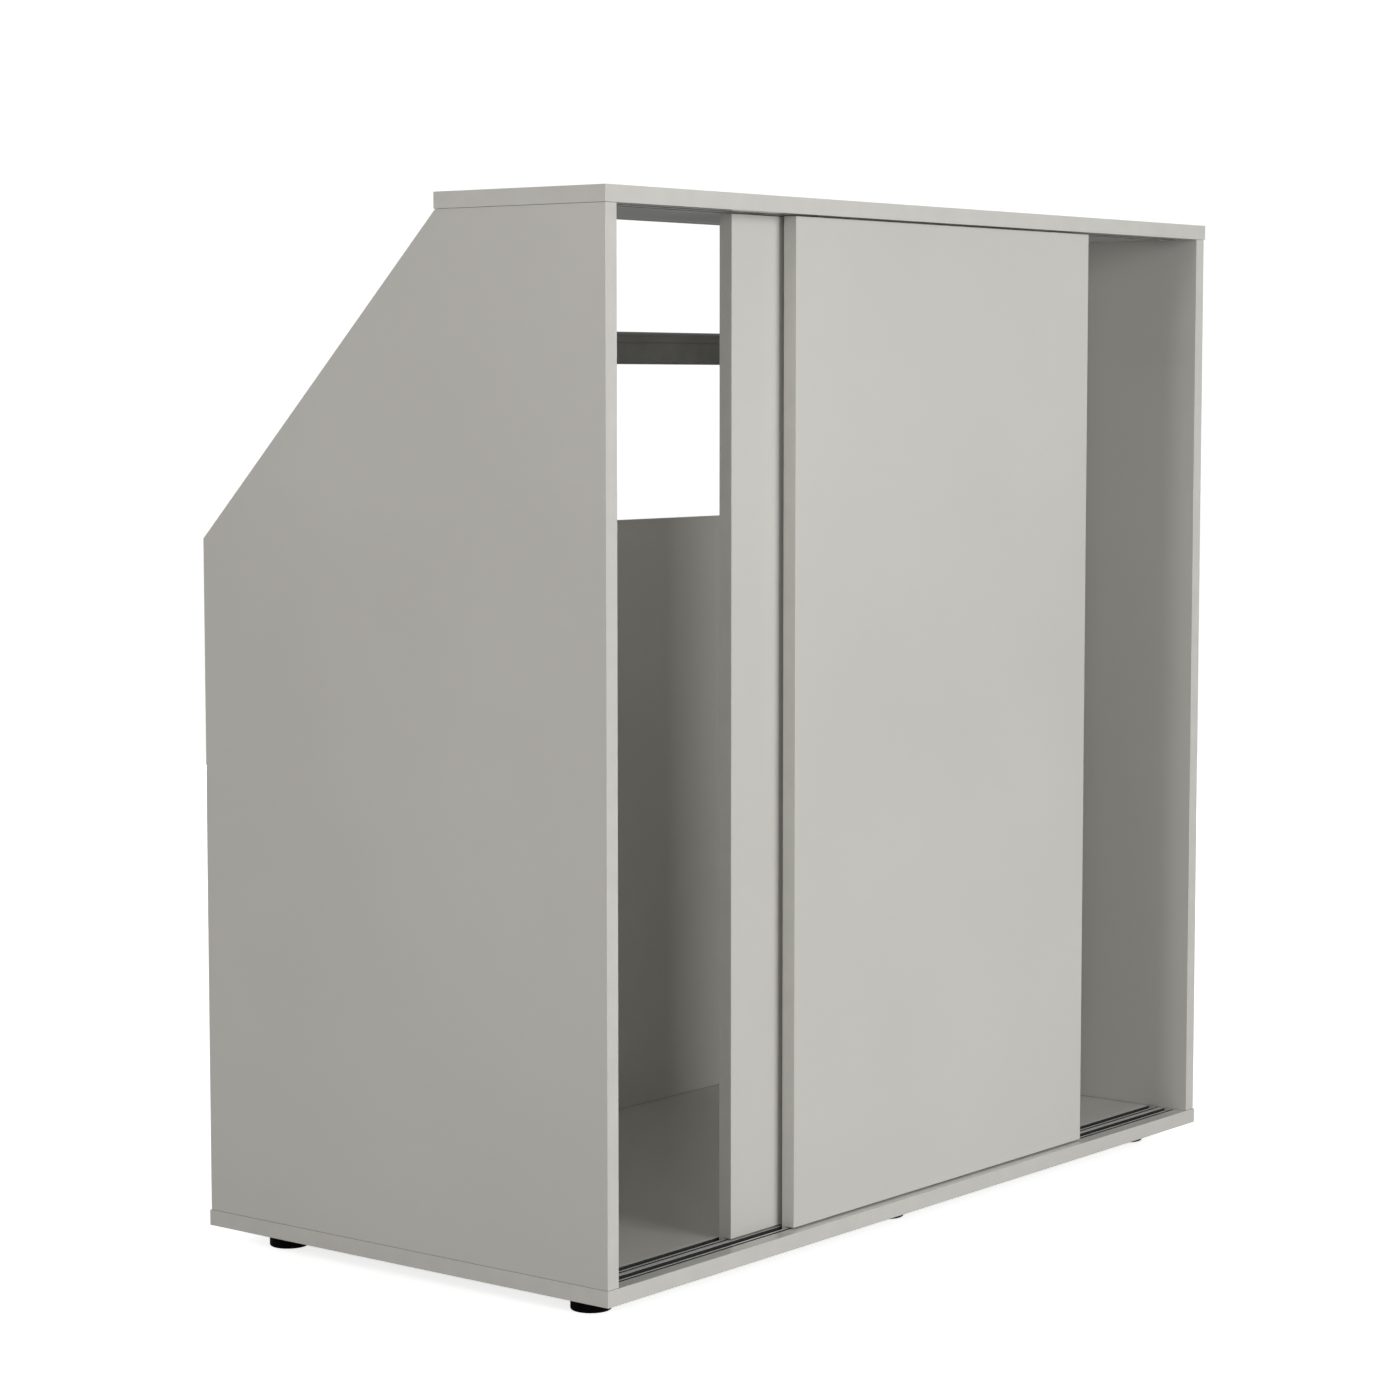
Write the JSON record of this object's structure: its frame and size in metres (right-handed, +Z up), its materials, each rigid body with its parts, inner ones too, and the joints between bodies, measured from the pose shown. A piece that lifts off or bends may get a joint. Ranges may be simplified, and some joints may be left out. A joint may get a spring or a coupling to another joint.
{
  "type": "sliding door wardrobe",
  "caption": "Low wardrobe with sides cut back for a sloping ceiling, sliding doors in inlaid tracks, an oval clothes rail and black feet.",
  "frame": {"origin": "on the floor, under the middle of the top and bottom panels' footprint", "axes": "+Z up, +X along the width to the right of someone facing the doors, +Y from the doors to the back"},
  "size_m": [1.2, 0.597, 1.1902],
  "materials": {
    "laminate": "light grey laminate on chipboard, glossy",
    "back_board": "light grey laminate on thin board, satin",
    "track_aluminium": "clear anodised, finely drawn",
    "rail_anthracite": "anthracite coating, satin",
    "black_plastic": "black moulded plastic",
    "grey_plastic": "grey moulded plastic",
    "white_nylon": "white nylon",
    "steel": "zinc plated",
    "beech": "raw beech"
  },
  "bodies": {
    "root": {"bottom_panel": "laminate", "top_panel": "laminate", "left_side_panel": "laminate", "right_side_panel": "laminate", "back_panel": "back_board", "bottom_track": "track_aluminium", "top_track": "track_aluminium", "clothes_rail": "rail_anthracite", "rail_socket_left": "rail_anthracite", "rail_socket_right": "rail_anthracite", "foot_front_left": "black_plastic", "foot_front_middle": "black_plastic", "foot_front_right": "black_plastic", "foot_back_left": "black_plastic", "foot_back_middle": "black_plastic", "foot_back_right": "black_plastic", "end_stop_front_left": "black_plastic", "end_stop_front_right": "black_plastic", "end_stop_rear_left": "black_plastic", "end_stop_rear_right": "black_plastic", "back_screw_left_1": "steel", "back_screw_left_2": "steel", "back_screw_left_3": "steel", "back_screw_right_1": "steel", "back_screw_right_2": "steel", "back_screw_right_3": "steel", "dowel_bottom_left_front": "beech", "dowel_bottom_left_back": "beech", "dowel_bottom_right_front": "beech", "dowel_bottom_right_back": "beech", "dowel_top_left_front": "beech", "dowel_top_left_back": "beech", "dowel_top_right_front": "beech", "dowel_top_right_back": "beech"},
    "front_door_left_roller": {"front_door_left_roller_wheel": "white_nylon"},
    "front_door_left_guide_plunger": {"front_door_left_guide_plunger": "grey_plastic"},
    "front_door_right_roller": {"front_door_right_roller_wheel": "white_nylon"},
    "front_door_right_guide_plunger": {"front_door_right_guide_plunger": "grey_plastic"},
    "front_door": {"front_door_panel": "laminate", "front_door_left_roller_housing": "grey_plastic", "front_door_left_roller_axle": "steel", "front_door_left_guide_housing": "grey_plastic", "front_door_left_guide_spring": "steel", "front_door_right_roller_housing": "grey_plastic", "front_door_right_roller_axle": "steel", "front_door_right_guide_housing": "grey_plastic", "front_door_right_guide_spring": "steel"},
    "rear_door_left_roller": {"rear_door_left_roller_wheel": "white_nylon"},
    "rear_door_left_guide_plunger": {"rear_door_left_guide_plunger": "grey_plastic"},
    "rear_door_right_roller": {"rear_door_right_roller_wheel": "white_nylon"},
    "rear_door_right_guide_plunger": {"rear_door_right_guide_plunger": "grey_plastic"},
    "rear_door": {"rear_door_panel": "laminate", "rear_door_left_roller_housing": "grey_plastic", "rear_door_left_roller_axle": "steel", "rear_door_left_guide_housing": "grey_plastic", "rear_door_left_guide_spring": "steel", "rear_door_right_roller_housing": "grey_plastic", "rear_door_right_roller_axle": "steel", "rear_door_right_guide_housing": "grey_plastic", "rear_door_right_guide_spring": "steel"}
  },
  "joints": [
    {"name": "front_door_slide", "type": "slide", "parent": "root", "child": "front_door", "axis": [1, 0, 0], "range_m": [-0.3192, 0.2387]},
    {"name": "front_door_left_roller_spin", "type": "hinge", "parent": "front_door", "child": "front_door_left_roller", "pos_m": [-0.1895, -0.27265, 0.0463], "axis": [0, 1, 0], "continuous": true},
    {"name": "front_door_left_guide_press", "type": "slide", "parent": "front_door", "child": "front_door_left_guide_plunger", "axis": [0, 0, 1], "range_m": [-0.0075, 0], "stiffness_N_per_m": 150, "springref_m": 0.006, "deforming": ["front_door_left_guide_spring"]},
    {"name": "front_door_right_roller_spin", "type": "hinge", "parent": "front_door", "child": "front_door_right_roller", "pos_m": [0.27, -0.27265, 0.0463], "axis": [0, 1, 0], "continuous": true},
    {"name": "front_door_right_guide_press", "type": "slide", "parent": "front_door", "child": "front_door_right_guide_plunger", "axis": [0, 0, 1], "range_m": [-0.0075, 0], "stiffness_N_per_m": 150, "springref_m": 0.006, "deforming": ["front_door_right_guide_spring"]},
    {"name": "rear_door_slide", "type": "slide", "parent": "root", "child": "rear_door", "axis": [1, 0, 0], "range_m": [-0.2343, 0.3236]},
    {"name": "rear_door_left_roller_spin", "type": "hinge", "parent": "rear_door", "child": "rear_door_left_roller", "pos_m": [-0.2744, -0.24915, 0.0463], "axis": [0, 1, 0], "continuous": true},
    {"name": "rear_door_left_guide_press", "type": "slide", "parent": "rear_door", "child": "rear_door_left_guide_plunger", "axis": [0, 0, 1], "range_m": [-0.0075, 0], "stiffness_N_per_m": 150, "springref_m": 0.006, "deforming": ["rear_door_left_guide_spring"]},
    {"name": "rear_door_right_roller_spin", "type": "hinge", "parent": "rear_door", "child": "rear_door_right_roller", "pos_m": [0.1851, -0.24915, 0.0463], "axis": [0, 1, 0], "continuous": true},
    {"name": "rear_door_right_guide_press", "type": "slide", "parent": "rear_door", "child": "rear_door_right_guide_plunger", "axis": [0, 0, 1], "range_m": [-0.0075, 0], "stiffness_N_per_m": 150, "springref_m": 0.006, "deforming": ["rear_door_right_guide_spring"]}
  ],
  "couplings": [
    {"joint": "front_door_left_roller_spin", "follows": "front_door_slide", "rad_per_m": 83.333},
    {"joint": "front_door_right_roller_spin", "follows": "front_door_slide", "rad_per_m": 83.333},
    {"joint": "rear_door_left_roller_spin", "follows": "rear_door_slide", "rad_per_m": 83.333},
    {"joint": "rear_door_right_roller_spin", "follows": "rear_door_slide", "rad_per_m": 83.333}
  ]
}
